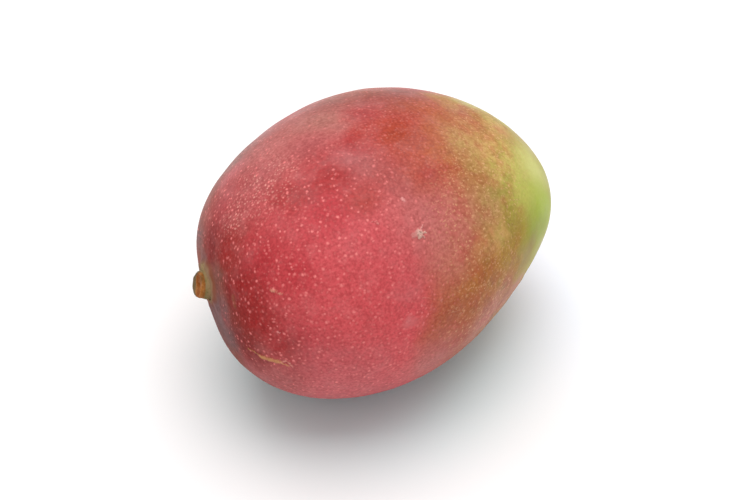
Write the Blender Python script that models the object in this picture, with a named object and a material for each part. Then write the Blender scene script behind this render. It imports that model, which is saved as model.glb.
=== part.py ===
"""A ripe mango as picked, lying on its cheek, with the cut stub of its stem.

The fruit is one solid. Its stem end points to -X, its apex to +X and its near
flank to -Y. It stands on a small flat spot, whose centre is the origin. The stub
is a woody piece of its own, seated in a shallow socket at the stem end.
"""

import math

import bmesh
import bpy
from mathutils import Euler, Matrix, Vector

MM = 0.001

# The fruit's driving sizes: stem end to apex, flank to flank, cheek to cheek
LENGTH = 118 * MM
WIDTH = 97 * MM
THICKNESS = 88 * MM

# How full each end is beside an ellipsoid of the same size, and how much the
# flanks and the cheeks draw in from the middle towards the apex
STEM_END_FULLNESS = 1.14
APEX_FULLNESS = 0.77
WIDTH_TAPER = 0.145
THICKNESS_TAPER = 0.08

# The far flank stands this much further towards the apex than the near one
SLANT = 0.22

# Soft swells and hollows of the skin: where from the middle, how high, how wide
SKIN_FORMS = {
    "near shoulder falls away": ((-0.75, -1.0, 0.15), -2.1 * MM, math.radians(27)),
    "far shoulder stands up": ((-2.25, 1.0, 0.25), 2.7 * MM, math.radians(13.5)),
    "basin round the stem": ((-1.0, -0.1, 0.0), -2.4 * MM, math.radians(13)),
    "skin rises to the stem": ((-1.0, 0.04, 0.0), 0.9 * MM, math.radians(8)),
    "flat beside the apex": ((0.94, -1.0, -0.16), -1.9 * MM, math.radians(15.5)),
    "faint beak": ((1.0, 0.25, -0.2), 0.9 * MM, math.radians(9)),
}

# How the fruit settles on its cheek, and how much of it is pressed flat
APEX_DROP = math.radians(2.9)
ROLL = math.radians(-0.5)
FLAT_DEPTH = 0.7 * MM

# The mesh: slices round the long axis, and rings from stem end to apex
SLICES = 80
RINGS = 58

# The stem stub, measured along its own axis from the skin that it comes out of
STUB_RADIUS = 4.3 * MM
COLLAR_RADIUS = 4.7 * MM
STUB_STANDS_OUT = 2.7 * MM
COLLAR_HEIGHT = 0.8 * MM
RIM_ROUNDING = 0.5 * MM
CUT_FACE_DISH = 0.6 * MM
PITH_RADIUS = 1.1 * MM
PITH_DEPTH = 0.4 * MM
STUB_SEAT_DEPTH = 2.2 * MM
STUB_SLICES = 36
STUB_LOBES = ((3, 0.025, 0.4), (5, 0.018, 1.9))

# The stub sits just off the stem pole, and leans upwards and towards the far flank
STUB_DIRECTION = (-1.0, -0.008, -0.012)
STUB_LEANS_UP = math.radians(14.2)
STUB_LEANS_FAR = math.radians(8.2)

# Clearance all round the seated stub
SEAT_GAP = 0.3 * MM

SKIN_RED = (0.56, 0.075, 0.075, 1.0)
STEM_BROWN = (0.32, 0.17, 0.055, 1.0)


def clear_scene():
    for obj in list(bpy.data.objects):
        bpy.data.objects.remove(obj)


def make_material(name, colour, roughness):
    material = bpy.data.materials.new(name)
    material.use_nodes = True
    shader = material.node_tree.nodes["Principled BSDF"]
    shader.inputs["Base Color"].default_value = colour
    shader.inputs["Roughness"].default_value = roughness
    shader.inputs["Metallic"].default_value = 0.0
    return material


def add_object(name, bm, material, sharp_angle):
    mesh = bpy.data.meshes.new(name)
    bm.to_mesh(mesh)
    bm.free()
    mesh.materials.append(material)
    mesh.shade_smooth()
    mesh.set_sharp_from_angle(angle=sharp_angle)
    obj = bpy.data.objects.new(name, mesh)
    bpy.context.collection.objects.link(obj)
    return obj


def fullness(along, taper):
    """The flank's stand-out at along, -1 at the stem end to 1 at the apex, beside an ellipsoid's."""
    both_ends = (STEM_END_FULLNESS + APEX_FULLNESS) / 2 - 1
    uneven_ends = (APEX_FULLNESS - STEM_END_FULLNESS) / 2 + taper
    return 1 - taper * along + both_ends * along**2 + uneven_ends * along**3


def skin_point(direction):
    """The skin's point in a direction from the middle, before the fruit settles on its cheek."""
    across = direction.y * WIDTH / 2 * fullness(direction.x, WIDTH_TAPER)
    upward = direction.z * THICKNESS / 2 * fullness(direction.x, THICKNESS_TAPER)
    point = Vector((direction.x * LENGTH / 2 + SLANT * across, across, upward))
    for towards, height, spread in SKIN_FORMS.values():
        closeness = direction.dot(Vector(towards).normalized())
        point += direction * height * math.exp((closeness - 1) / spread**2)
    return point


def settle():
    """Turns the fruit from its own long axis to the way it lies."""
    return Euler((ROLL, APEX_DROP, 0)).to_matrix().to_4x4()


def fruit_body():
    """The closed skin, lying with its flat spot's centre at the origin, and the shift that put it there."""
    bm = bmesh.new()
    bmesh.ops.create_uvsphere(bm, u_segments=SLICES, v_segments=RINGS, radius=1)
    stem_pole_to_minus_x = Matrix.Rotation(math.radians(-90), 4, "Y")
    bmesh.ops.transform(bm, matrix=stem_pole_to_minus_x, verts=bm.verts)
    for vert in bm.verts:
        vert.co = skin_point(vert.co.normalized())
    bmesh.ops.transform(bm, matrix=settle(), verts=bm.verts)

    floor_height = min(vert.co.z for vert in bm.verts) + FLAT_DEPTH
    everything = bm.verts[:] + bm.edges[:] + bm.faces[:]
    cut = bmesh.ops.bisect_plane(
        bm,
        geom=everything,
        plane_co=(0, 0, floor_height),
        plane_no=(0, 0, 1),
        clear_inner=True,
    )
    rim = [item for item in cut["geom_cut"] if isinstance(item, bmesh.types.BMEdge)]
    flat_spot = bmesh.ops.contextual_create(bm, geom=rim)["faces"][0]
    bmesh.ops.recalc_face_normals(bm, faces=bm.faces)

    to_origin = Matrix.Translation(-flat_spot.calc_center_median_weighted())
    bmesh.ops.transform(bm, matrix=to_origin, verts=bm.verts)
    return bm, to_origin


def stub_outline():
    """(radius, height) down the stub's side, from the pith at the middle of its cut face to its seat."""
    rim_corner = [
        (
            STUB_RADIUS - RIM_ROUNDING + RIM_ROUNDING * math.sin(turn),
            STUB_STANDS_OUT - RIM_ROUNDING + RIM_ROUNDING * math.cos(turn),
        )
        for turn in (0, math.radians(45), math.radians(90))
    ]
    dish_floor = STUB_STANDS_OUT - CUT_FACE_DISH
    return [
        (0, dish_floor - PITH_DEPTH),
        (PITH_RADIUS * 0.6, dish_floor - PITH_DEPTH * 0.8),
        (PITH_RADIUS, dish_floor),
        (STUB_RADIUS * 0.6, dish_floor + CUT_FACE_DISH * 0.25),
        *rim_corner,
        (STUB_RADIUS, COLLAR_HEIGHT * 1.6),
        (COLLAR_RADIUS, COLLAR_HEIGHT * 0.6),
        (COLLAR_RADIUS, -STUB_SEAT_DEPTH),
        (0, -STUB_SEAT_DEPTH),
    ]


def lobed(point):
    """Draws a point of the round stub in or out, so that its section is a little lobed like a real stem's."""
    turn = math.atan2(point.y, point.x)
    swell = sum(size * math.cos(count * turn + start) for count, size, start in STUB_LOBES)
    inward = 1 + swell - sum(size for _, size, _ in STUB_LOBES)
    return Vector((point.x * inward, point.y * inward, point.z))


def stub_body():
    bm = bmesh.new()
    verts = [bm.verts.new((radius, 0, height)) for radius, height in stub_outline()]
    edges = [bm.edges.new(pair) for pair in zip(verts, verts[1:])]
    bmesh.ops.spin(
        bm,
        geom=verts + edges,
        cent=(0, 0, 0),
        axis=(0, 0, 1),
        angle=math.tau,
        steps=STUB_SLICES,
        use_merge=True,
    )
    bmesh.ops.remove_doubles(bm, verts=bm.verts, dist=0.01 * MM)
    for vert in bm.verts:
        vert.co = lobed(vert.co)
    bmesh.ops.recalc_face_normals(bm, faces=bm.faces)
    return bm


def stub_place(to_origin):
    """Stands the stub's own +Z out of the stem end, leaning as the real one does."""
    stem_end = to_origin @ settle() @ skin_point(Vector(STUB_DIRECTION).normalized())
    outward = Vector((-1, math.tan(STUB_LEANS_FAR), math.tan(STUB_LEANS_UP)))
    turn = outward.to_track_quat("Z", "Y").to_matrix().to_4x4()
    return Matrix.Translation(stem_end) @ turn


def cut_socket(fruit, place):
    """A plain round socket in the skin, a little wider and deeper than the stub's root."""
    bm = bmesh.new()
    depth = STUB_SEAT_DEPTH + SEAT_GAP
    mouth = STUB_STANDS_OUT
    bmesh.ops.create_cone(
        bm,
        cap_ends=True,
        segments=STUB_SLICES,
        radius1=COLLAR_RADIUS + SEAT_GAP,
        radius2=COLLAR_RADIUS + SEAT_GAP,
        depth=depth + mouth,
        matrix=Matrix.Translation((0, 0, (mouth - depth) / 2)),
    )
    mesh = bpy.data.meshes.new("socket_cutter")
    bm.to_mesh(mesh)
    bm.free()
    cutter = bpy.data.objects.new("socket_cutter", mesh)
    bpy.context.collection.objects.link(cutter)
    cutter.matrix_world = place
    cutter.hide_render = True
    cutter.display_type = "WIRE"
    socket = fruit.modifiers.new("socket", "BOOLEAN")
    socket.operation = "DIFFERENCE"
    socket.solver = "EXACT"
    socket.object = cutter
    return cutter


def main():
    clear_scene()
    skin = make_material("mango_skin", SKIN_RED, 0.45)
    wood = make_material("dry_stem", STEM_BROWN, 0.8)

    mango = bpy.data.objects.new("mango", None)
    bpy.context.collection.objects.link(mango)

    fruit_mesh, to_origin = fruit_body()
    fruit = add_object("mango_fruit", fruit_mesh, skin, math.radians(30))
    fruit.parent = mango

    place = stub_place(to_origin)
    stub = add_object("stem_stub", stub_body(), wood, math.radians(40))
    stub.matrix_world = place
    stub.parent = mango

    cutter = cut_socket(fruit, place)
    cutter.parent = mango


main()
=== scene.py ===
import math

import bpy
import numpy as np
from mathutils import Euler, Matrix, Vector


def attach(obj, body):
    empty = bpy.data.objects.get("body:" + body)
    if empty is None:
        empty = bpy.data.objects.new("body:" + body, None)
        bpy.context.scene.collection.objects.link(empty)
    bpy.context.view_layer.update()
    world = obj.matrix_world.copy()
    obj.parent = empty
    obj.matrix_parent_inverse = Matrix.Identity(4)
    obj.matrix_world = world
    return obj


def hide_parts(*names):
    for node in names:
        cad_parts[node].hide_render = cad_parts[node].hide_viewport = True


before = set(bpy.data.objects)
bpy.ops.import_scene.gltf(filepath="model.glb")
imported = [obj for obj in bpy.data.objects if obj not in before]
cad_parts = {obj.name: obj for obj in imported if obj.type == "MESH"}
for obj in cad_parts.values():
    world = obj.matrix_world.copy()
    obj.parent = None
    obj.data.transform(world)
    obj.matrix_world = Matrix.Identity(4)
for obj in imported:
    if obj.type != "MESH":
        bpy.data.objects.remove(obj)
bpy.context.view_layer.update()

# A ripe mango on a white table, seen from above its near flank.
# Lengths are millimetres in the settings and while a shape is worked out, and metres in the meshes.
# Angles in the settings are degrees, but where a lobe or a ridge starts is in radians.
mm = 0.001
noiseRange = (0.3, 0.7)  # nearly all values of a noise are in it


def deselectAll():
    bpy.ops.object.select_all(action="DESELECT")


def unit(x, y, z):
    direction = np.array([x, y, z], float)
    return direction / np.linalg.norm(direction)


def smooth(low, high, values):
    part = np.clip((values - low) / (high - low), 0, 1)
    return part * part * (3 - 2 * part)


def pointsOf(obj):
    points = np.zeros(len(obj.data.vertices) * 3, np.float32)
    obj.data.vertices.foreach_get("co", points)
    return points.reshape(-1, 3).astype(float)


def setPoints(obj, points):
    obj.data.vertices.foreach_set("co", points.astype(np.float32).ravel())
    obj.data.update()


def roughen(obj, name, size, height):
    texture = bpy.data.textures.new(name, "CLOUDS")
    texture.noise_scale = size * mm
    texture.noise_depth = 2
    waves = obj.modifiers.new(name, "DISPLACE")
    waves.texture = texture
    waves.texture_coords = "LOCAL"
    waves.strength = height * mm
    waves.mid_level = 0.5
    deselectAll()
    obj.select_set(True)
    bpy.context.view_layer.objects.active = obj
    bpy.ops.object.modifier_apply(modifier=name)


# Shader nodes. A value given to a socket is either another node's output or a constant.
def plug(tree, socket, value):
    if isinstance(value, bpy.types.NodeSocket):
        tree.links.new(value, socket)
    elif isinstance(value, tuple) and socket.type == "RGBA":
        socket.default_value = (*value, 1)
    else:
        socket.default_value = value


def newMaterial(name):
    material = bpy.data.materials.new(name)
    material.use_nodes = True
    return material, material.node_tree


def mixColours(tree, factor, under, over, blend="MIX"):
    mixed = tree.nodes.new("ShaderNodeMix")
    mixed.data_type = "RGBA"
    mixed.blend_type = blend
    plug(tree, mixed.inputs[0], factor)
    plug(tree, mixed.inputs[6], under)
    plug(tree, mixed.inputs[7], over)
    return mixed.outputs[2]


def maths(tree, operation, *values):
    worked = tree.nodes.new("ShaderNodeMath")
    worked.operation = operation
    for socket, value in zip(worked.inputs, values):
        plug(tree, socket, value)
    return worked.outputs[0]


def vectors(tree, operation, *values):
    worked = tree.nodes.new("ShaderNodeVectorMath")
    worked.operation = operation
    for socket, value in zip(worked.inputs, values):
        plug(tree, socket, value)
    return worked.outputs["Value" if operation in ("DISTANCE", "DOT_PRODUCT") else "Vector"]


def spread(tree, value, low, high, atLow=0.0, atHigh=1.0):
    spreadOut = tree.nodes.new("ShaderNodeMapRange")
    spreadOut.interpolation_type = "SMOOTHSTEP"
    for socket, given in zip(spreadOut.inputs, (value, low, high, atLow, atHigh)):
        plug(tree, socket, given)
    return spreadOut.outputs[0]


def noise(tree, place, size, detail=2.0):
    grain = tree.nodes.new("ShaderNodeTexNoise")
    plug(tree, grain.inputs["Vector"], place)
    plug(tree, grain.inputs["Scale"], 1 / size)
    plug(tree, grain.inputs["Detail"], detail)
    return grain


def times(tree, first, *others):
    for other in others:
        first = maths(tree, "MULTIPLY", first, other)
    return first


def scaled(tree, vector, factor):
    return vectors(tree, "MULTIPLY", vector, (factor, factor, factor))


# Soft patches of noise, from 0 at low to strength at high
def clouds(tree, place, size, detail, low, high, strength=1.0):
    return spread(tree, noise(tree, place, size, detail).outputs["Fac"], low, high, 0.0, strength)


# How far, and which way, a noise pulls a place
def pulledAside(tree, place, size, detail, pull):
    cloud = noise(tree, place, size, detail).outputs["Color"]
    return scaled(tree, vectors(tree, "SUBTRACT", cloud, (0.5, 0.5, 0.5)), pull)


def near(tree, place, spot, reach, strength=1.0):
    return spread(tree, vectors(tree, "DISTANCE", place, spot), float(reach), 0.0, 0.0, strength)


def attribute(tree, name, output="Fac"):
    stored = tree.nodes.new("ShaderNodeAttribute")
    stored.attribute_name = name
    return stored.outputs[output]


def placeInMillimetres(tree):
    coordinates = tree.nodes.new("ShaderNodeTexCoord").outputs["Object"]
    return vectors(tree, "MULTIPLY", coordinates, (1000, 1000, 1000))


# The fruit's form, in its own frame: stem end at -X, near flank at -Y, upper cheek at +Z
fruit = {
    "length": 118, "width": 97, "thickness": 88,
    "stemEndFullness": 1.14, "apexFullness": 0.77,
    "widthTaper": 0.145, "thicknessTaper": 0.08,
    "slant": 0.22,
    "apexDrop": 2.9, "roll": -0.5, "middle": (2.66, -0.7, 43.23),
    "flatEase": 0.1,
    "cuts": 9, "fineCuts": 3, "fineRoundStem": 14, "fineRoundMark": 1.9,
    "waveSize": 24, "waveHeight": 0.7,
    "lipHeight": 0.3, "lipPlace": 6.4, "lipWidth": 1.5, "lipLobes": ((5, 0.3, 0.7), (2, 0.2, 0.0)),
    "folds": 11, "foldHeight": 0.16, "foldPlace": 8.5, "foldWidth": 2.6,
    "foldWander": 0.8, "foldSwirl": 0.25,
    "socketWall": (4.15, 4.6), "socketDepth": 2.5, "stemEndReach": 20,
    "forms": {
        "nearShoulderFallsAway": ((-0.75, -1.0, 0.15), -2.1, 27),
        "farShoulderStandsUp": ((-2.25, 1.0, 0.25), 2.7, 13.5),
        "basinRoundTheStem": ((-1.0, -0.1, 0.0), -2.4, 13),
        "skinRisesToTheStem": ((-1.0, 0.04, 0.0), 0.9, 8),
        "flatBesideTheApex": ((0.94, -1.0, -0.16), -1.9, 15.5),
        "faintBeak": ((1.0, 0.25, -0.2), 0.9, 9),
    },
}

# The stem's stub, seated just off the fruit's stem pole
stub = {
    "foot": (-1.0, -0.008, -0.012), "leansUp": 14.2, "leansFar": 8.2,
    "radius": 4.3, "collarRadius": 4.7, "standsOut": 2.7,
    "flareRadius": 5.5, "flareSwing": 1.6, "flareFullest": 113, "flareLeast": -0.72,
    "cutTilt": 6, "cutLooks": (0, -0.74, 0.67), "cutSetsIn": (0.8, 2.1), "faceMiddle": (1.3, 0.8),
    "seatDepth": 2.2, "rimRounding": 0.45, "dish": 0.5, "pithRadius": 1.0, "pithDepth": 0.35,
    "rootRounding": 0.3,
    # The side below the rim: from which radius, how far outside it, at what height
    "sideOutline": [
        ("radius", 0.05, 1.7), ("radius", 0.35, 1.1), ("flareRadius", -0.55, 0.6),
        ("flareRadius", 0.0, 0.0), ("flareRadius", -0.1, -0.8), ("collarRadius", 0.0, -1.1),
    ],
    "slices": 96, "rings": 90, "smoothAngle": 50,
    "lobes": ((3, 0.025, 0.4), (5, 0.018, 1.9)),
    "ridges": 13, "ridgeHeight": 0.1, "ridgeSwing": 0.6, "ridgeWander": 1.2, "broadRidges": (7, 0.6, 2),
    "ridgedOutside": (0.7, 1.0), "ridgedAbove": (-0.4, 0.3),
    "flaredOutside": 0.2, "flaredAbove": (-1.1, -0.8),
    "faceWave": 0.1, "faceWaveTurn": 2.2,
    "grainSize": 0.9, "grainHeight": 0.16,
    "bowlSlope": 0.2, "bowlSteps": 41, "bowlRadius": 9, "bowlEnds": (0.4, 1.9),
}

# Healed marks in the skin, and a painted shadow under the streak: line, half width, height, colour, and
# how much of it covers the skin
marks = {
    "streakFadingIn": (
        [(-52, -28.8, 43.1), (-50.8, -30.8, 43.4), (-49.4, -32.9, 42.7)],
        0.36, 0.1, (0.44, 0.19, 0.08), 0.75,
    ),
    "streak": (
        [(-49.4, -32.9, 42.6), (-47.5, -35.2, 42.9), (-45.4, -37.3, 43.1)],
        0.82, 0.3, (0.53, 0.25, 0.1), 0.82,
    ),
    "streakTail": ([(-45.4, -37.3, 43.1), (-43.3, -39.1, 42.3)], 0.4, 0.2, (0.55, 0.22, 0.11), 0.85),
    "streakHook": (
        [(-45, -37.7, 43.1), (-43.8, -38.7, 44.2), (-43.1, -39.3, 43.7), (-42.4, -39.8, 42.2)],
        0.32, 0.15, (0.66, 0.25, 0.2), 0.85,
    ),
    # Painted shadow: dark crimson laid on the skin just below the raised streak
    "paintedShadowUnderStreak": ([(-48.3, -34.9, 41.3), (-47.2, -36, 41.3)], 0.45, -0.1, (0.16, 0.02, 0.02), 0.6),
    "scab": ([(0.9, -33.5, 74.8), (0.7, -33.9, 74.4)], 1.05, 0.35, (0.62, 0.42, 0.34), 0.85),
    "scabArmUp": (
        [(1.4, -33.1, 75), (2, -32.3, 75.6), (2.5, -32, 75.9)],
        0.4, 0.2, (0.68, 0.3, 0.27), 0.9,
    ),
    "scabArmRight": ([(1.5, -33.5, 74.6), (2.8, -33.6, 74.2)], 0.4, 0.12, (0.62, 0.38, 0.3), 0.85),
    "scabArmLeft": ([(0.2, -33.6, 74.8), (-1.2, -34, 74.8)], 0.9, 0.06, (0.55, 0.26, 0.23), 0.5),
    "scabArmDown": ([(0.7, -33.9, 74.4), (0.4, -34.7, 73.7)], 0.4, 0.1, (0.62, 0.38, 0.3), 0.8),
    "scabArmAside": ([(1.3, -34, 74.2), (2, -34.6, 73.5)], 0.38, 0.1, (0.6, 0.32, 0.27), 0.7),
    "scabPitUp": ([(0.9, -33.3, 75), (1.1, -33.4, 74.9)], 0.26, -0.15, (0.2, 0.12, 0.09), 0.9),
    "scabPitLeft": ([(0.1, -33.9, 74.6), (0.2, -34.2, 74.3)], 0.22, -0.15, (0.24, 0.14, 0.1), 0.8),
    "scabPitDown": ([(1.5, -34.4, 73.8), (1.7, -34.5, 73.6)], 0.2, -0.1, (0.3, 0.15, 0.12), 0.7),
    "palePatch": ([(-8.6, -47.2, 53.6), (-7.2, -47.1, 53.5)], 1.9, 0.06, (0.58, 0.15, 0.15), 0.5),
    "palePatchTip": ([(-8.3, -46.9, 54.4), (-7.9, -46.6, 55.4)], 1.0, 0.04, (0.6, 0.17, 0.17), 0.4),
    "curlAcross": (
        [(-2.9, -44.7, 59.4), (-1.3, -44.6, 59), (0, -44.6, 58.1)],
        0.25, 0.06, (0.6, 0.17, 0.14), 0.6,
    ),
    "curlShort": ([(3.4, -44.4, 56.5), (3.2, -44.8, 55.3)], 0.3, 0.06, (0.58, 0.2, 0.17), 0.6),
    "curlFork": (
        [(5.1, -45.1, 51.8), (6.5, -45, 49.9), (9.6, -44.1, 49)],
        0.28, 0.06, (0.5, 0.19, 0.1), 0.5,
    ),
    "curlDown": ([(0.1, -45.2, 56.5), (-0.8, -45.8, 54.9)], 0.25, 0.05, (0.56, 0.16, 0.13), 0.5),
    "curlUpper": (
        [(-11.8, -28.5, 79.7), (-10.7, -28.8, 79.5), (-10.4, -29.7, 78.9)],
        0.25, 0.05, (0.62, 0.2, 0.18), 0.6,
    ),
    "beigeSpeck": ([(-44.1, -29.3, 65.1), (-43.2, -30.2, 65.1)], 0.6, 0.08, (0.6, 0.28, 0.18), 0.7),
    "beigeSpeckBeside": (
        [(-42.5, -31.2, 64.9), (-41.9, -31.7, 64.8)],
        0.45, 0.06, (0.6, 0.26, 0.18), 0.6,
    ),
    "paleTick": ([(-0.7, -24.8, 81.4), (-0.3, -25.5, 81)], 0.5, 0.1, (0.68, 0.28, 0.26), 0.85),
    "oliveStreak": ([(-52.7, -19.8, 57), (-53, -21.5, 54.8)], 0.9, 0.02, (0.24, 0.09, 0.03), 0.35),
    "paleSpeck": ([(-44.9, -35.8, 54.1), (-44.7, -36, 53.9)], 0.4, 0.1, (0.66, 0.3, 0.28), 0.8),
    "styleScar": ([(62.2, 6.4, 33.2), (62.1, 7, 32.6)], 0.5, -0.2, (0.1, 0.06, 0.03), 0.85),
}

# The marks' frayed edges: waves in radians a millimetre, and a fade in shares of the half width
markEdges = {
    "stray": 0.13,
    "waves": [
        ((3.1, 2.3, 1.7), (-4.9, 5.3, 3.7)),
        ((2.1, -3.4, 2.9), (5.1, 4.3, -5.7)),
        ((-2.6, 1.9, 3.3), (4.1, -5.9, 4.7)),
    ],
    "fade": (0.35, 1.35),
}


def fullness(along, taper):
    bothEnds = (fruit["stemEndFullness"] + fruit["apexFullness"]) / 2 - 1
    unevenEnds = (fruit["apexFullness"] - fruit["stemEndFullness"]) / 2 + taper
    return 1 - taper * along + bothEnds * along**2 + unevenEnds * along**3


def skinPoints(directions):
    along, across, upward = directions.T
    y = across * fruit["width"] / 2 * fullness(along, fruit["widthTaper"])
    z = upward * fruit["thickness"] / 2 * fullness(along, fruit["thicknessTaper"])
    x = along * fruit["length"] / 2 + fruit["slant"] * y
    points = np.column_stack([x, y, z])
    for towards, height, spreads in fruit["forms"].values():
        closeness = directions @ unit(*towards)
        swell = height * np.exp((closeness - 1) / math.radians(spreads) ** 2)
        points += directions * swell[:, None]
    turn = Euler((math.radians(fruit["roll"]), math.radians(fruit["apexDrop"]), 0))
    return points @ np.array(turn.to_matrix()).T + fruit["middle"]


def stubFrame():
    foot = skinPoints(unit(*stub["foot"])[None])[0]
    far = math.tan(math.radians(stub["leansFar"]))
    up = math.tan(math.radians(stub["leansUp"]))
    turn = Vector((-1, far, up)).to_track_quat("Z", "Y").to_matrix()
    return foot, np.array(turn)


def besideStub(offset):
    foot, turn = stubFrame()
    return tuple(float(part) for part in foot + turn @ offset)


def distanceTo(line, points):
    nearest = np.full(len(points), np.inf)
    for start, end in zip(np.array(line), np.array(line)[1:]):
        reach = end - start
        along = np.clip((points - start) @ reach / (reach @ reach), 0, 1)
        offset = points - start - along[:, None] * reach
        nearest = np.minimum(nearest, np.linalg.norm(offset, axis=1))
    return nearest


# Smaller faces where the stem sits and where the marks are
def refine(skin, number, reaches):
    count = len(skin.data.polygons)
    middles = np.zeros(count * 3, np.float32)
    skin.data.polygons.foreach_get("center", middles)
    middles = middles.reshape(-1, 3).astype(float)
    middles /= np.linalg.norm(middles, axis=1)[:, None]
    places = skinPoints(middles)
    chosen = np.zeros(count, bool)
    for line, reach in reaches:
        chosen |= distanceTo(line, places) < reach
    bpy.context.tool_settings.mesh_select_mode = (False, False, True)
    bpy.ops.object.mode_set(mode="EDIT")
    bpy.ops.mesh.select_all(action="DESELECT")
    bpy.ops.object.mode_set(mode="OBJECT")
    skin.data.polygons.foreach_set("select", chosen)
    bpy.ops.object.mode_set(mode="EDIT")
    bpy.ops.mesh.subdivide(number_cuts=number)
    bpy.ops.object.mode_set(mode="OBJECT")


# The skin swells into a lip round the stub, puckers outside it, and dips to a socket under it
def raiseStemLip(points):
    foot, turn = stubFrame()
    across, aside, height = ((points - foot) @ turn).T
    fromAxis = np.hypot(across, aside)
    angle = np.arctan2(aside, across)
    lobes = 1 + sum(size * np.sin(count * angle + start) for count, size, start in fruit["lipLobes"])
    lip = np.exp(-((fromAxis - fruit["lipPlace"]) / fruit["lipWidth"]) ** 2)
    fold = np.exp(-((fromAxis - fruit["foldPlace"]) / fruit["foldWidth"]) ** 2)
    wander = fruit["foldWander"] * np.sin(3 * angle + 1) + fruit["foldSwirl"] * fromAxis
    height = height + fruit["lipHeight"] * lobes * lip
    height += fruit["foldHeight"] * fold * np.sin(fruit["folds"] * angle + wander)
    wall = smooth(*fruit["socketWall"], fromAxis)
    sunk = height * wall - fruit["socketDepth"] * (1 - wall)
    # The apex lies in line with the stub too, and stays as it is
    height = np.where(np.abs(height) < fruit["stemEndReach"], sunk, height)
    return np.column_stack([across, aside, height]) @ turn.T + foot


# Height of the skin along the stub's axis, as a smooth bowl round its foot
def skinBowl():
    foot, turn = stubFrame()
    slopes = np.linspace(-stub["bowlSlope"], stub["bowlSlope"], stub["bowlSteps"])
    directions = np.array([(-1, y, z) for y in slopes for z in slopes])
    directions /= np.linalg.norm(directions, axis=1)[:, None]
    across, aside, height = ((skinPoints(directions) - foot) @ turn).T
    close = np.hypot(across, aside) < stub["bowlRadius"]
    terms = bowlTerms(across[close], aside[close])
    return np.linalg.lstsq(terms, height[close], rcond=None)[0]


def bowlTerms(across, aside):
    return np.column_stack([np.ones(len(across)), across, aside, across**2, aside**2, across * aside])


def markSkin(points):
    outward = points - np.array(fruit["middle"])
    outward /= np.linalg.norm(outward, axis=1)[:, None]
    colour = np.zeros((len(points), 4))
    raised = np.zeros(len(points))
    strays = [np.sin(points @ first) + np.sin(points @ second) for first, second in markEdges["waves"]]
    ragged = points + markEdges["stray"] * np.column_stack(strays)
    inner, outer = markEdges["fade"]
    for line, width, height, tint, cover in marks.values():
        shape = 1 - smooth(inner * width, outer * width, distanceTo(line, ragged))
        raised = np.where(abs(height) * shape > abs(raised), height * shape, raised)
        layer = cover * shape
        under = colour[:, 3] * (1 - layer)
        total = np.maximum(layer + under, 1e-6)
        mixed = np.array(tint) * layer[:, None] + colour[:, :3] * under[:, None]
        colour[:, :3] = mixed / total[:, None]
        colour[:, 3] = layer + under
    return points + outward * raised[:, None], colour


def makeFruit():
    deselectAll()
    bpy.ops.mesh.primitive_cube_add(size=2)
    skin = bpy.context.object
    skin.name = "mangoSkin"
    bpy.ops.object.mode_set(mode="EDIT")
    bpy.ops.mesh.subdivide(number_cuts=fruit["cuts"])
    bpy.ops.mesh.subdivide(number_cuts=fruit["cuts"])
    bpy.ops.object.mode_set(mode="OBJECT")
    foot, turn = stubFrame()
    reaches = [([foot, foot + turn[:, 2]], fruit["fineRoundStem"])]
    reaches += [(line, width + fruit["fineRoundMark"]) for line, width, *rest in marks.values()]
    refine(skin, fruit["fineCuts"], reaches)

    directions = pointsOf(skin)
    directions /= np.linalg.norm(directions, axis=1)[:, None]
    setPoints(skin, skinPoints(directions) * mm)
    roughen(skin, "softWaves", fruit["waveSize"], fruit["waveHeight"])

    points = raiseStemLip(pointsOf(skin) / mm)
    points, colour = markSkin(points)
    # Pressed flat where it lies, with a soft edge
    ease = fruit["flatEase"]
    points[:, 2] = (points[:, 2] + np.sqrt(points[:, 2] ** 2 + 4 * ease**2)) / 2
    points[:, 2] -= points[:, 2].min()
    setPoints(skin, points * mm)
    stored = skin.data.attributes.new("marks", "FLOAT_COLOR", "POINT")
    stored.data.foreach_set("color", colour.astype(np.float32).ravel())
    bpy.ops.object.shade_smooth()
    return skin


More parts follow.
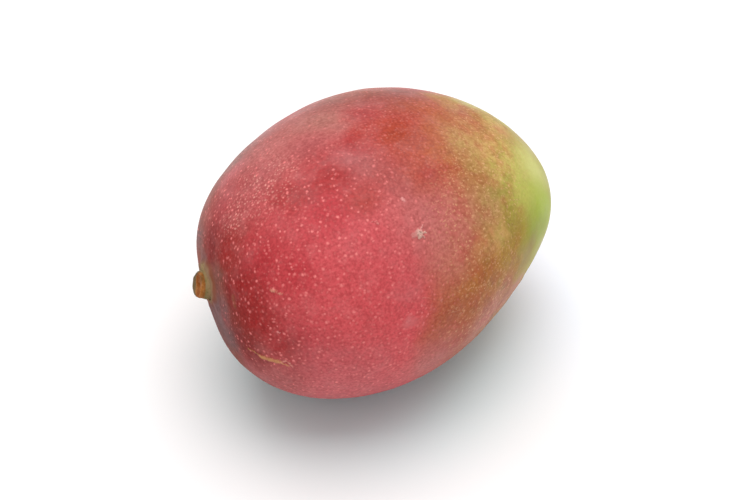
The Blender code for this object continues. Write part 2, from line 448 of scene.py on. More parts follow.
# The skin's colours: a ramp along the ripening axis, then soft washes over it
skinLooks = {
    "ripeningAxis": (0.918, -0.396, 0.0),
    "palette": {
        "deepCrimson": (0.23, 0.01, 0.01),
        "crimson": (0.34, 0.01, 0.01),
        "brightCrimson": (0.45, 0.02, 0.03),
        "ruby": (0.48, 0.05, 0.06),
        "red": (0.38, 0.04, 0.03),
        "warmRed": (0.33, 0.04, 0.01),
        "brick": (0.4, 0.09, 0.03),
        "rose": (0.56, 0.08, 0.09),
        "freshRose": (0.64, 0.08, 0.09),
        "pink": (0.56, 0.12, 0.13),
        "dustyRose": (0.41, 0.09, 0.09),
        "dustyPink": (0.49, 0.15, 0.14),
        "haze": (0.36, 0.14, 0.11),
        "plum": (0.23, 0.05, 0.03),
        "brown": (0.18, 0.05, 0.03),
        # Mauve and grey are partly the skin's bloom, partly a painted sheen on the stem-end rim
        "mauve": (0.18, 0.09, 0.09),
        "grey": (0.22, 0.13, 0.13),
        "salmon": (0.54, 0.17, 0.13),
        "apricot": (0.54, 0.24, 0.09),
        "rust": (0.42, 0.14, 0.01),
        "umber": (0.27, 0.13, 0.02),
        "olive": (0.32, 0.28, 0.02),
        "tan": (0.42, 0.3, 0.1),
        "ochre": (0.38, 0.22, 0.01),
        "gold": (0.63, 0.4, 0.14),
        "yellow": (0.45, 0.4, 0.04),
        "lime": (0.48, 0.49, 0.1),
        "paleGreen": (0.59, 0.6, 0.19),
        "green": (0.38, 0.48, 0.04),
        "shadeGreen": (0.25, 0.29, 0.01),
    },
    "ripening": {
        -62: "haze", -40: "plum", -15: "rose", 10: "freshRose", 30: "brick", 45: "ochre", 62: "green",
    },
    # Each wash's place, reach, strength and colour
    "washes": {
        # Grey haze on the upper left: partly the skin's bloom, partly a painted reflection of the bright
        # table
        "upperHaze": ((-10, 14, 85), 26, 0.9, "haze"),
        "hazeTowardsStem": ((-32, 7, 80), 22, 0.8, "dustyPink"),
        "leftShoulder": ((-45, 4, 70), 20, 0.8, "ruby"),
        "freckledShoulder": ((-39, -2, 77), 16, 0.7, "dustyRose"),
        "plumTop": ((14, 11, 85), 18, 0.8, "plum"),
        "brickTop": ((25, 8, 82), 20, 0.9, "brick"),
        "warmCrown": ((7, -4, 87), 18, 0.9, "warmRed"),
        "dustyArc": ((-18, 1, 86), 14, 0.9, "dustyRose"),
        "crimsonPatch": ((-19, -13, 85), 18, 0.9, "crimson"),
        "dustyPatch": ((-8, -10, 87), 13, 0.9, "dustyRose"),
        "plumCrown": ((0, -21, 83), 20, 0.7, "plum"),
        "centreRose": ((-13, -34, 75), 28, 0.8, "rose"),
        "roseLeft": ((-34, -19, 78), 24, 0.7, "rose"),
        "leftCrimson": ((-44, -24, 69), 20, 0.8, "brightCrimson"),
        "dustyMiddle": ((8, -32, 74), 24, 0.8, "dustyPink"),
        "salmonEdge": ((19, -29, 71), 14, 0.6, "salmon"),
        "belly": ((-18, -46, 58), 20, 0.8, "freshRose"),
        "bellyRose": ((-33, -39, 63), 24, 0.7, "freshRose"),
        "rubyLower": ((-42, -39, 50), 18, 0.7, "ruby"),
        "underRim": ((-28, -45, 32), 24, 0.8, "pink"),
        "underLeft": ((-46, -35, 35), 18, 0.8, "dustyRose"),
        "tanUpper": ((26, -9, 80), 18, 0.8, "tan"),
        "brickUpper": ((15, -16, 82), 16, 0.7, "brick"),
        "goldShoulder": ((38, -10, 72), 18, 0.8, "gold"),
        "yellowRim": ((42, 7, 72), 10, 0.6, "yellow"),
        "tanMiddle": ((28, -25, 70), 16, 0.7, "tan"),
        "limeShoulder": ((42, -15, 65), 18, 0.9, "lime"),
        "paleGreen": ((52, -6, 60), 14, 0.8, "paleGreen"),
        "greenApex": ((50, -18, 52), 16, 0.95, "green"),
        "ochreMiddle": ((33, -31, 54), 14, 0.9, "ochre"),
        "greenShade": ((44, -23, 50), 12, 0.8, "shadeGreen"),
        "goldSpot": ((28, -31, 61), 9, 0.7, "gold"),
        "rustFlank": ((14, -41, 55), 20, 0.9, "rust"),
        "brickLower": ((5, -46, 48), 14, 0.8, "brick"),
        "salmonMiddle": ((9, -39, 64), 15, 0.7, "salmon"),
        "rustBesideTheRim": ((27, -35, 48), 12, 0.8, "rust"),
        "pinkEdge": ((21, -37, 32), 14, 0.9, "salmon"),
        "pinkUnder": ((0, -46, 33), 16, 0.8, "dustyPink"),
        "darkByTheStem": ((-52, 0, 62), 13, 0.95, "deepCrimson"),
        "darkLowerLeft": ((-52, -22, 59), 13, 0.95, "deepCrimson"),
        "darkBelow": ((-53, -26, 46), 12, 0.95, "deepCrimson"),
        "dustyBelow": ((-51, -28, 34), 10, 0.8, "dustyRose"),
        "brownByTheStem": ((-54, -9, 53), 6, 0.9, "brown"),
        "topRimLeft": ((-1, 26, 80), 16, 0.9, "plum"),
        "topRimMiddle": ((10, 25, 80), 16, 0.9, "plum"),
        "topRimRight": ((21, 22, 79), 16, 0.9, "plum"),
        "topRimFar": ((32, 16, 76), 11, 0.9, "ochre"),
        "crimsonSpot": ((-27, -13, 83), 10, 0.9, "crimson"),
        "crimsonBar": ((-6, -3, 87), 9, 0.9, "crimson"),
        "crimsonTop": ((1, 10, 86), 9, 0.8, "crimson"),
        "crimsonByTheStem": ((-49, -24, 62), 9, 0.9, "crimson"),
        "crimsonLow": ((-49, -31, 55), 10, 0.9, "crimson"),
        "redUpper": ((12, -18, 82), 8, 0.8, "red"),
        "rustRimRight": ((32, -32, 40), 9, 0.8, "rust"),
        "goldTopEdge": ((45, 3, 70), 9, 0.6, "gold"),
        "greenEdge": ((54, -14, 49), 9, 0.8, "green"),
        "ochreEdge": ((31, -33, 50), 8, 0.8, "ochre"),
        # Grey-mauve band round the stem end: partly the skin's own bloom, partly a painted sheen where
        # the rim turns away and reflects the white table
        "mauveByTheFoot": ((-55, -11, 45), 10, 0.9, "mauve"),
        "mauveRim": ((-55, -14, 43), 11, 0.9, "mauve"),
        "mauveLow": ((-55, -19, 41), 11, 0.9, "mauve"),
        "greyAboveStem": ((-54, 2, 52), 6, 0.8, "grey"),
        "greyRim": ((-52, 11, 54), 8, 0.8, "grey"),
        "crimsonMiddle": ((-21, -22, 82), 11, 0.8, "brightCrimson"),
        "crimsonLeft": ((-50, -10, 67), 10, 0.9, "crimson"),
        "redRight": ((-12, -23, 83), 9, 0.9, "red"),
        "crimsonByStreak": ((-43, -39, 48), 9, 0.9, "crimson"),
        "redCrown": ((-1, 0, 88), 8, 0.9, "red"),
        "brownBesideStem": ((-53, -10, 58), 6, 0.9, "brown"),
        "umberByTheRim": ((42, -25, 45), 9, 0.6, "umber"),
        "crimsonUnderStreak": ((-51, -30, 40), 7, 0.9, "deepCrimson"),
        "dustyFreckled": ((-32, 2, 81), 8, 0.8, "dustyRose"),
        "brickShoulder": ((18, -5, 84), 8, 0.8, "brick"),
        "oliveTongue": ((35, -25, 63), 9, 0.6, "olive"),
        "greenShadeRim": ((51, -18, 47), 8, 0.5, "shadeGreen"),
        "crimsonMidLeft": ((-35, -32, 70), 9, 0.6, "brightCrimson"),
        "crimsonMidUpper": ((-28, -25, 78), 9, 0.5, "brightCrimson"),
        "apricotLower": ((22, -34, 63), 8, 0.8, "apricot"),
        "redTop": ((11, -4, 86), 9, 0.5, "warmRed"),
        "crimsonNearArc": ((-16, -11, 86), 8, 0.8, "crimson"),
        "pinkShoulder": ((-39, 16, 71), 9, 0.7, "pink"),
        "crimsonFar": ((-31, -10, 82), 8, 0.8, "crimson"),
        "rubyBelowTheStem": ((-53, -18, 48), 6, 0.5, "ruby"),
        "limeRimHigh": ((37, 17, 73), 7, 0.7, "lime"),
        "limeRim": ((42, 15, 71), 9, 0.9, "lime"),
        "limeRimLow": ((50, 12, 65), 10, 0.9, "lime"),
        # More of the grey-mauve band: partly bloom, partly painted sheen
        "mauveBeside": ((-54.5, -18, 50), 6, 0.75, "mauve"),
        "pinkRimHigh": ((38, -24, 31), 9, 0.8, "salmon"),
        "pinkRim": ((32, -28, 31), 9, 0.8, "salmon"),
        "pinkRimLow": ((24, -33, 31), 9, 0.7, "salmon"),
        "tanTop": ((31, 8, 79), 8, 0.4, "tan"),
        # More of the grey-mauve band below and above the stem: partly bloom, partly painted sheen
        "greyUnderStem": ((-56, -8, 42), 7, 0.8, "grey"),
        "mauveEdge": ((-55, -7, 37), 9, 0.9, "mauve"),
        "mauveEdgeLow": ((-54, -13, 34), 9, 0.8, "mauve"),
        "pinkBelowTheRim": ((30, -31, 36), 9, 0.4, "salmon"),
        "plumUnderside": ((-50, -16, 26), 16, 0.9, "plum"),
        "brickBeyondTheTop": ((8, 36, 74), 22, 0.7, "brick"),
        "tanFarFlank": ((14, 44, 36), 44, 0.75, "tan"),
        "rustFarShoulder": ((-26, 42, 36), 32, 0.6, "rust"),
        "yellowUnderside": ((16, 14, 4), 34, 0.7, "yellow"),
        "goldSpotItLiesOn": ((0, 0, 0), 16, 0.6, "gold"),
    },

    # Places on the stub's own axes, where the stain fades out and is full, its strength and colour
    "stemStains": {
        "brown": ((1.9, 3.0, 0), 8.5, 5.5, 0.85, (0.23, 0.065, 0.03)),
        "ring": ((0.2, 1.6, 0), 7.4, 5.6, 0.8, (0.27, 0.17, 0.09)),
    },
    "stainFray": 0.5,

    # Noises that pull a place aside: size, detail, pull
    "bend": (24, 3, 10), "fray": (5, 1.5, 4), "jitter": (1.1, 2, 0.8), "fleckJitter": (1.1, 2, 1.4),

    # From where to where along the ripening axis, and the values there if they aren't 0 and 1
    "redThinsOut": (38, 8), "mottlingThinsOut": (54, 40, 0.3, 1.0), "deeperTurnsGreen": (16, 36),
    "turningStarts": (13, 30), "turningEnds": (52, 38), "blotchesSetIn": 12,
    "dotsThinOut": (36, 2, 0.1, 1.0),

    # Clouds of noise: size, detail, from where to where they fill, strength
    "mottling": [(9, 3, 0.48, 0.68, 0.15), (2.2, 3, 0.42, 0.7, 0.3), (0.9, 3, 0.36, 0.68, 0.85)],
    "deeper": (0.74, 0.63, 0.63), "deeperGreen": (0.88, 0.84, 0.78),
    "paleClouds": (5, 2, 0.5, 0.34, 0.07), "paleCloudsMoved": (40, 0, 0), "paler": (0.66, 0.27, 0.26),
    "bloomClouds": (15, 5, 0.5, 0.75, 0.08), "bloom": (0.5, 0.33, 0.33),
    "blotchClouds": (5, 4, 0.46, 0.64),
    # Colour, how far its clouds are moved, where it starts along the ripening axis
    "blotches": {
        "olive": ((0.82, 0.93, 0.72), (0, 0, 0), 26),
        "rust": ((0.95, 0.75, 0.8), (60, 0, 0), 13),
    },
    "speckClouds": (0.9, 2, 0.42, 0.66), "speck": (0.86, 0.79, 0.74),

    # Dots: the size of a cell, the dot's radius in it, its colour. Places: where, reach, strength
    "dotsFromStem": (9, 16),  # out from the stem they set in between these
    "poreSizes": (0.72, 1.02), "poreShares": (0.3, 1.0), "poreHardness": 0.1,
    "fleckStretch": (0.55, 1, 0.75), "fleckCell": 0.8, "fleckRadius": 0.46,
    "fleckShare": 0.6, "fleck": (0.74, 0.41, 0.21),
    "lenticelCell": 1.6, "lenticelRadius": 0.68, "lenticel": (0.78, 0.2, 0.19),
    "plainPlaces": {
        "crown": ((8, 0, 88), 46, 0.65),
        "haze": ((-14, 12, 86), 26, 0.5),
        "belowStem": ((-56, -13, 38), 15, 1.0),
        "besideStem": ((-53, -20, 56), 9, 0.5),
        "lowRim": ((-53, -25, 31), 15, 0.8),
    },
    "freckleCell": 0.98, "freckleRadius": 0.56, "freckle": (0.8, 0.35, 0.29),
    "freckleShare": 0.12, "frecklesMoved": (17, 5, 9),
    "freckledPlaces": {
        "cluster": ((-46, -3, 72), 9, 1.0),
        "band": ((-36, -1, 79), 19, 0.85),
        "bandEnd": ((-29, -1, 83), 9, 0.8),
        "fineCrown": ((6, 0, 88), 44, 0.2),
    },

    # The marks' gritty cover, the finish, and heights of the relief
    "gritSize": 0.45, "gritCover": (0.3, 0.55, 0.55, 1.1),
    "roughness": 0.55, "gloss": 0.15, "waxWeight": 0.28, "waxRoughness": 0.2, "waxIndex": 1.25,
    "dullEnd": ((-58, -6, 46), 50, 0.5), "markDullness": 0.25, "dullPatch": (7, 3), "patchDullness": 0.05,
    "peelSize": 1.6, "peelHeight": 0.06, "dotHeight": 0.02, "scabHeight": 0.25,
}


def ripeningColours(tree, place):
    looks = skinLooks
    stops = looks["ripening"]
    low, high = min(stops), max(stops)
    axis = tuple(float(part) for part in unit(*looks["ripeningAxis"]))
    ripe = vectors(tree, "DOT_PRODUCT", place, axis)
    ramp = tree.nodes.new("ShaderNodeValToRGB")
    plug(tree, ramp.inputs[0], maths(tree, "DIVIDE", maths(tree, "SUBTRACT", ripe, low), high - low))
    elements = ramp.color_ramp.elements
    for index, (where, tint) in enumerate(stops.items()):
        position = (where - low) / (high - low)
        stop = elements[index] if index in (0, 1) else elements.new(position)
        stop.position = position
        stop.color = (*looks["palette"][tint], 1)
    return ripe, ramp.outputs[0]


def pores(tree, place, cell, radius):
    looks = skinLooks
    cells = tree.nodes.new("ShaderNodeTexVoronoi")
    plug(tree, cells.inputs["Vector"], place)
    plug(tree, cells.inputs["Scale"], 1 / cell)
    chance = tree.nodes.new("ShaderNodeSeparateColor")
    plug(tree, chance.inputs[0], cells.outputs["Color"])
    size = spread(tree, chance.outputs[1], 0.0, 1.0, *looks["poreSizes"])
    away = maths(tree, "DIVIDE", cells.outputs["Distance"], size)
    edge = radius / cell
    dot = spread(tree, away, edge, edge * looks["poreHardness"])
    return times(tree, dot, spread(tree, chance.outputs[0], 0.0, 1.0, *looks["poreShares"]))


def washSkin(tree, washed):
    ripe, colour = ripeningColours(tree, washed)
    for spot, reach, strength, tint in skinLooks["washes"].values():
        share = near(tree, washed, spot, reach, strength)
        colour = mixColours(tree, share, colour, skinLooks["palette"][tint])
    return ripe, colour


# Mottling, from broad clouds to single cells
def mottleSkin(tree, place, ripe, redness, colour):
    looks = skinLooks
    thinning = spread(tree, ripe, *looks["mottlingThinsOut"])
    greening = spread(tree, ripe, *looks["deeperTurnsGreen"])
    deeper = mixColours(tree, greening, looks["deeper"], looks["deeperGreen"])
    for cloud in looks["mottling"]:
        share = times(tree, clouds(tree, place, *cloud), thinning)
        colour = mixColours(tree, share, colour, deeper, "MULTIPLY")
    moved = vectors(tree, "ADD", place, looks["paleCloudsMoved"])
    share = times(tree, clouds(tree, moved, *looks["paleClouds"]), redness)
    return mixColours(tree, share, colour, looks["paler"])


# Olive and rusty blotches and orange-yellow flecks where the red thins out
def fleckSkin(tree, place, ripe, colour):
    looks = skinLooks
    stretched = vectors(tree, "MULTIPLY", place, looks["fleckStretch"])
    stretched = vectors(tree, "ADD", stretched, pulledAside(tree, place, *looks["fleckJitter"]))
    turning = spread(tree, ripe, *looks["turningStarts"])
    turning = times(tree, turning, spread(tree, ripe, *looks["turningEnds"]))
    for tint, moved, start in looks["blotches"].values():
        blotch = clouds(tree, vectors(tree, "ADD", place, moved), *looks["blotchClouds"])
        settingIn = spread(tree, ripe, start, start + looks["blotchesSetIn"])
        colour = mixColours(tree, times(tree, blotch, turning, settingIn), colour, tint, "MULTIPLY")
    speck = clouds(tree, stretched, *looks["speckClouds"])
    colour = mixColours(tree, times(tree, speck, turning), colour, looks["speck"], "MULTIPLY")
    fleck = pores(tree, stretched, looks["fleckCell"], looks["fleckRadius"])
    return mixColours(tree, times(tree, fleck, looks["fleckShare"], turning), colour, looks["fleck"])


# Lenticels, the skin's pale corky pores, densest in the red, and finer freckles on the shoulder
def dotSkin(tree, place, washed, ripe, colour):
    looks = skinLooks
    jittered = vectors(tree, "ADD", place, pulledAside(tree, place, *looks["jitter"]))
    fromStem = vectors(tree, "DISTANCE", place, besideStub((0, 0, 0)))
    zone = spread(tree, ripe, *looks["dotsThinOut"])
    zone = times(tree, zone, spread(tree, fromStem, *looks["dotsFromStem"]))
    for spot, reach, strength in looks["plainPlaces"].values():
        zone = times(tree, zone, maths(tree, "SUBTRACT", 1.0, near(tree, washed, spot, reach, strength)))
    lenticels = times(tree, pores(tree, jittered, looks["lenticelCell"], looks["lenticelRadius"]), zone)
    colour = mixColours(tree, lenticels, colour, looks["lenticel"])

    freckled = times(tree, zone, looks["freckleShare"])
    for spot, reach, strength in looks["freckledPlaces"].values():
        freckled = maths(tree, "MAXIMUM", near(tree, place, spot, reach, strength), freckled)
    moved = vectors(tree, "ADD", jittered, looks["frecklesMoved"])
    freckles = times(tree, pores(tree, moved, looks["freckleCell"], looks["freckleRadius"]), freckled)
    colour = mixColours(tree, freckles, colour, looks["freckle"])
    return colour, maths(tree, "ADD", lenticels, freckles)


# Olive and brown skin round the stem
def stainRoundStem(tree, frayed, colour):
    for offset, far, close, share, tint in skinLooks["stemStains"].values():
        fromMiddle = vectors(tree, "DISTANCE", frayed, besideStub(offset))
        colour = mixColours(tree, spread(tree, fromMiddle, far, close, 0, share), colour, tint)
    return colour


def makeSkinMaterial():
    looks = skinLooks
    material, tree = newMaterial("mangoSkin")
    place = placeInMillimetres(tree)
    fray = pulledAside(tree, place, *looks["fray"])
    bent = vectors(tree, "ADD", pulledAside(tree, place, *looks["bend"]), fray)
    washed = vectors(tree, "ADD", place, bent)

    ripe, colour = washSkin(tree, washed)
    redness = spread(tree, ripe, *looks["redThinsOut"])
    colour = mottleSkin(tree, place, ripe, redness, colour)
    colour = fleckSkin(tree, place, ripe, colour)
    bloom = times(tree, clouds(tree, place, *looks["bloomClouds"]), redness)  # a greyish waxy haze
    colour = mixColours(tree, bloom, colour, looks["bloom"])
    colour, dots = dotSkin(tree, place, washed, ripe, colour)
    frayed = vectors(tree, "ADD", place, scaled(tree, fray, looks["stainFray"]))
    colour = stainRoundStem(tree, frayed, colour)

    # Healed marks, and the painted shadow under the streak, stored on the mesh
    mark = attribute(tree, "marks", "Alpha")
    grit = noise(tree, place, looks["gritSize"]).outputs["Fac"]
    gritty = spread(tree, grit, *looks["gritCover"])
    cover = maths(tree, "MINIMUM", times(tree, mark, gritty), 1.0)
    colour = mixColours(tree, cover, colour, attribute(tree, "marks", "Color"))

    # A rough skin under a thin wax coat, duller at the stem end and on the marks
    shader = tree.nodes["Principled BSDF"]
    plug(tree, shader.inputs["Base Color"], colour)
    plug(tree, shader.inputs["Specular IOR Level"], looks["gloss"])
    dullness = times(tree, mark, looks["markDullness"])
    dullness = maths(tree, "ADD", dullness, near(tree, place, *looks["dullEnd"]))
    patch = noise(tree, place, *looks["dullPatch"]).outputs["Fac"]
    patchy = spread(tree, patch, *noiseRange, -looks["patchDullness"], looks["patchDullness"])
    dullness = maths(tree, "ADD", dullness, patchy)
    plug(tree, shader.inputs["Roughness"], maths(tree, "ADD", dullness, looks["roughness"]))
    plug(tree, shader.inputs["Coat Weight"], looks["waxWeight"])
    plug(tree, shader.inputs["Coat IOR"], looks["waxIndex"])
    plug(tree, shader.inputs["Coat Roughness"], maths(tree, "ADD", dullness, looks["waxRoughness"]))

    # Fine relief in millimetres: pores stand a little proud of an orange-peel skin
    peel = times(tree, noise(tree, place, looks["peelSize"]).outputs["Fac"], looks["peelHeight"])
    scab = times(tree, mark, grit, looks["scabHeight"])
    relief = tree.nodes.new("ShaderNodeBump")
    plug(tree, relief.inputs["Distance"], mm)
    raised = maths(tree, "ADD", peel, times(tree, dots, looks["dotHeight"]))
    plug(tree, relief.inputs["Height"], maths(tree, "ADD", raised, scab))
    plug(tree, shader.inputs["Normal"], relief.outputs[0])
    return material


def stubOutline():
    corner = stub["rimRounding"]
    face = stub["standsOut"] - stub["dish"]
    outline = [
        (0, face - stub["pithDepth"]),
        (stub["pithRadius"] * 0.6, face - stub["pithDepth"] * 0.8),
        (stub["pithRadius"], face),
        (stub["radius"] * 0.6, face + stub["dish"] * 0.25),
    ]
    for turn in range(0, 91, 18):
        outward = stub["radius"] - corner + corner * math.sin(math.radians(turn))
        upward = stub["standsOut"] - corner + corner * math.cos(math.radians(turn))
        outline.append((outward, upward))
    outline += [(stub[circle] + outside, height) for circle, outside, height in stub["sideOutline"]]
    outline += [
        (stub["collarRadius"], -stub["seatDepth"] + stub["rootRounding"]),
        (stub["collarRadius"] - stub["rootRounding"], -stub["seatDepth"]),
        (0, -stub["seatDepth"]),
    ]
    return np.array(outline, float)


# A point goes as far down the outline as it was down the sphere
def followOutline(upward):
    outline = stubOutline()
    walked = np.append(0, np.cumsum(np.linalg.norm(np.diff(outline, axis=0), axis=1)))
    share = np.arccos(np.clip(upward, -1, 1)) / math.pi * walked[-1]
    return np.interp(share, walked, outline[:, 0]), np.interp(share, walked, outline[:, 1])


# Lobes and ridges round the side, and a flared foot that is widest at one side
def shapeSide(angle, fromAxis, height):
    swell = sum(size * np.cos(count * angle + start) for count, size, start in stub["lobes"])
    fromAxis = fromAxis * (1 + swell - sum(size for count, size, start in stub["lobes"]))
    ridged = smooth(*stub["ridgedOutside"], fromAxis / stub["radius"])
    ridged *= smooth(*stub["ridgedAbove"], height)
    count, size, start = stub["broadRidges"]
    ridge = np.sin(stub["ridges"] * angle + stub["ridgeWander"] * np.sin(3 * angle))
    ridge += size * np.sin(count * angle + start)
    fromAxis -= stub["ridgeHeight"] * ridged * (1 + stub["ridgeSwing"] * ridge)
    flared = smooth(stub["radius"] + stub["flaredOutside"], stub["flareRadius"], fromAxis)
    flared *= smooth(*stub["flaredAbove"], height)
    swung = np.maximum(np.cos(angle - math.radians(stub["flareFullest"])), stub["flareLeast"])
    return fromAxis + stub["flareSwing"] * flared * swung, ridged


# The cut face tilts and waves a little, and the foot follows the skin under it
def makeStub():
    deselectAll()
    bpy.ops.mesh.primitive_uv_sphere_add(segments=stub["slices"], ring_count=stub["rings"], radius=1)
    wood = bpy.context.object
    wood.name = "stemStub"
    across, aside, upward = pointsOf(wood).T
    angle = np.arctan2(aside, across)
    fromAxis, height = followOutline(upward)
    fromAxis, ridged = shapeSide(angle, fromAxis, height)
    upper = smooth(*stub["cutSetsIn"], height)
    waves = np.sin(stub["faceWaveTurn"] * fromAxis + 3 * angle)
    height += stub["faceWave"] * upper * (1 - ridged) * waves

    points = np.column_stack([fromAxis * np.cos(angle), fromAxis * np.sin(angle), height])
    foot, turn = stubFrame()
    looksAlong = unit(*(np.array(stub["cutLooks"]) @ turn * (1, 1, 0)))
    cutPlane = height - math.tan(math.radians(stub["cutTilt"])) * (points @ looksAlong)
    points[:, 2] = height * (1 - upper) + cutPlane * upper
    lower = 1 - smooth(*stub["bowlEnds"], height)
    points[:, 2] += lower * (bowlTerms(points[:, 0], points[:, 1]) @ skinBowl())
    setPoints(wood, points * mm)
    roughen(wood, "woodGrain", stub["grainSize"], stub["grainHeight"])

    points = pointsOf(wood) / mm
    fromFace = np.hypot(*(points[:, :2] - stub["faceMiddle"]).T)
    for name, values in (("fromFace", fromFace), ("height", height)):
        stored = wood.data.attributes.new(name, "FLOAT", "POINT")
        stored.data.foreach_set("value", values.astype(np.float32))
    setPoints(wood, (points @ turn.T + foot) * mm)
    bpy.ops.object.shade_smooth_by_angle(angle=math.radians(stub["smoothAngle"]))
    return wood


# The stub's colours. Each sets in between two heights, distances or values of noise.
stubLooks = {
    "side": (0.27, 0.18, 0.08), "sideGreen": (0.2, 0.15, 0.05), "greenSetsIn": (0.4, 0.62),
    "collar": (0.3, 0.19, 0.085), "collarSetsIn": (0.9, 0.4, 0, 0.8),
    "rim": (0.14, 0.09, 0.04), "rimSetsIn": (1.9, 2.3, 0, 0.9),
    "face": (0.35, 0.12, 0.018), "facePale": (0.4, 0.16, 0.04), "paleSetsIn": (0.42, 0.62, 0, 0.8),
    "faceDull": (0.24, 0.13, 0.05), "dullSetsIn": (-1.0, -3.2, 0, 0.7),
    "faceStreak": (0.26, 0.065, 0.003), "streakSetsIn": (1.8, 0.3),
    "streakLooks": (0.73, 0.68, 0), "streakWander": 2.5,
    "faceShade": (0.14, 0.06, 0.01), "shadeSpot": (0.8, 3.4, 2.3), "shadeReach": 2.6, "shadeShare": 0.85,
    "faceEdge": (0.26, 0.1, 0.02), "edgeSetsIn": (2.1, 1.7, 0, 0.8),
    "faceWithin": (4.7, 4.1), "faceAbove": (1.2, 1.6),
    "darkGrain": (0.66, 0.55, 0.5), "darkGrainSetsIn": (0.5, 0.72, 0, 0.5),
    "grain": (0.7, 3), "blotch": (1.8, 2), "fibres": (0.5, 2), "fibresRun": (1.0, 1.0, 0.22),
    "roughness": (0.65, 0.85), "gloss": 0.25, "relief": 0.15,
}


# The cut face: pale fibres, a dull side, a dark streak down the middle, a dark corner and a brown edge
def cutFace(tree, place, height, fibres, blotch):
    looks = stubLooks
    pale = spread(tree, fibres, *looks["paleSetsIn"])
    colour = mixColours(tree, pale, looks["face"], looks["facePale"])
    foot, turn = stubFrame()
    sideways = turn @ unit(*looks["streakLooks"])
    across = vectors(tree, "DOT_PRODUCT", place, tuple(sideways))
    across = maths(tree, "SUBTRACT", across, float(foot @ sideways))
    wander = times(tree, maths(tree, "SUBTRACT", blotch, 0.5), looks["streakWander"])
    across = maths(tree, "ADD", across, wander)
    colour = mixColours(tree, spread(tree, across, *looks["dullSetsIn"]), colour, looks["faceDull"])
    streak = spread(tree, maths(tree, "ABSOLUTE", across), *looks["streakSetsIn"])
    colour = mixColours(tree, streak, colour, looks["faceStreak"])
    shaded = near(tree, place, besideStub(looks["shadeSpot"]), looks["shadeReach"], looks["shadeShare"])
    colour = mixColours(tree, shaded, colour, looks["faceShade"])
    return mixColours(tree, spread(tree, height, *looks["edgeSetsIn"]), colour, looks["faceEdge"])


def makeStubMaterial():
    looks = stubLooks
    material, tree = newMaterial("dryStem")
    place = placeInMillimetres(tree)
    height = attribute(tree, "height")
    grain = noise(tree, place, *looks["grain"]).outputs["Fac"]
    blotch = noise(tree, place, *looks["blotch"]).outputs["Fac"]
    along = vectors(tree, "MULTIPLY", place, looks["fibresRun"])
    fibres = noise(tree, along, *looks["fibres"]).outputs["Fac"]

    green = spread(tree, blotch, *looks["greenSetsIn"])
    colour = mixColours(tree, green, looks["side"], looks["sideGreen"])
    colour = mixColours(tree, spread(tree, height, *looks["collarSetsIn"]), colour, looks["collar"])
    colour = mixColours(tree, spread(tree, height, *looks["rimSetsIn"]), colour, looks["rim"])
    fromMiddle = maths(tree, "ADD", attribute(tree, "fromFace"), blotch)
    onFace = spread(tree, fromMiddle, *looks["faceWithin"])
    onFace = times(tree, onFace, spread(tree, height, *looks["faceAbove"]))
    colour = mixColours(tree, onFace, colour, cutFace(tree, place, height, fibres, blotch))
    dark = spread(tree, grain, *looks["darkGrainSetsIn"])
    colour = mixColours(tree, dark, colour, looks["darkGrain"], "MULTIPLY")

    shader = tree.nodes["Principled BSDF"]
    plug(tree, shader.inputs["Base Color"], colour)
    plug(tree, shader.inputs["Specular IOR Level"], looks["gloss"])
    plug(tree, shader.inputs["Roughness"], spread(tree, grain, *noiseRange, *looks["roughness"]))
    relief = tree.nodes.new("ShaderNodeBump")
    plug(tree, relief.inputs["Distance"], mm)
    plug(tree, relief.inputs["Height"], times(tree, maths(tree, "ADD", grain, fibres), looks["relief"]))
    plug(tree, shader.inputs["Normal"], relief.outputs[0])
    return material


print("fruit")
skin = makeFruit()
skin.data.materials.append(makeSkinMaterial())
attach(skin, "root")
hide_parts("mango_fruit")

print("stem stub")
wood = makeStub()
wood.data.materials.append(makeStubMaterial())
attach(wood, "root")
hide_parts("stem_stub")

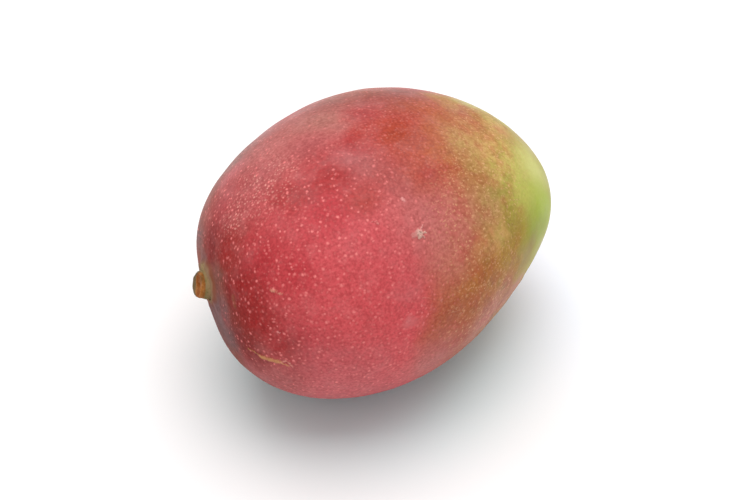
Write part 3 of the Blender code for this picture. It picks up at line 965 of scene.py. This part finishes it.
# Table, light and camera
stage = {
    "tableSide": 8.0, "tableColour": (0.85, 0.85, 0.85),
    # Painted colour on the table: cool tints round the fruit cancel its red and yellow bounce light, so
    # its shadow stays grey
    "tintsCancellingBounceLight": [((60, -5, 0), 68, (0.865, 0.89, 0.965)), ((-6, -9, 0), 68, (0.62, 0.93, 0.95))],
    "skyStrength": 0.68,
    "lampSide": 1.2, "lampHeight": 1.1, "lampPower": 12.2, "lampPlace": (0.07, 0.16),
    "azimuth": -23.35, "elevation": 44, "distance": 0.65, "lens": 100,
    "aim": (2.7, -0.7, 43.2), "shift": (-0.0072, -0.0174),
}


def setStage():
    deselectAll()
    bpy.ops.mesh.primitive_plane_add(size=stage["tableSide"])
    table = bpy.context.object
    table.name = "whiteTable"
    paper, tree = newMaterial("whitePaper")
    colour = stage["tableColour"]
    # Painted tints that cancel the fruit's bounce light in its shadow
    for spot, reach, tint in stage["tintsCancellingBounceLight"]:
        colour = mixColours(tree, near(tree, placeInMillimetres(tree), spot, reach), colour, tint)
    shader = tree.nodes["Principled BSDF"]
    plug(tree, shader.inputs["Base Color"], colour)
    plug(tree, shader.inputs["Roughness"], 1.0)
    plug(tree, shader.inputs["Specular IOR Level"], 0.0)
    table.data.materials.append(paper)

    world = bpy.data.worlds.new("softSky")
    bpy.context.scene.world = world
    world.use_nodes = True
    sky = world.node_tree.nodes["Background"]
    sky.inputs["Color"].default_value = (1, 1, 1, 1)
    sky.inputs["Strength"].default_value = stage["skyStrength"]

    x, y = stage["lampPlace"]
    place = Vector((x, y, stage["lampHeight"]))
    bpy.ops.object.light_add(type="AREA", location=place)
    lamp = bpy.context.object
    lamp.name = "softBox"
    lamp.data.size = stage["lampSide"]
    lamp.data.energy = stage["lampPower"]
    lamp.rotation_euler = (-place).to_track_quat("-Z", "Y").to_euler()

    bpy.context.scene.view_settings.view_transform = "Standard"


def setCamera():
    around = math.radians(stage["azimuth"])
    above = math.radians(stage["elevation"])
    back = Vector((
        math.sin(around) * math.cos(above),
        -math.cos(around) * math.cos(above),
        math.sin(above),
    ))
    aim = Vector(stage["aim"]) * mm
    bpy.ops.object.camera_add(location=aim + back * stage["distance"])
    camera = bpy.context.object
    camera.rotation_euler = (-back).to_track_quat("-Z", "Y").to_euler()
    camera.data.lens = stage["lens"]
    camera.data.shift_x, camera.data.shift_y = stage["shift"]
    bpy.context.scene.camera = camera


print("table, light and camera")
setStage()
setCamera()
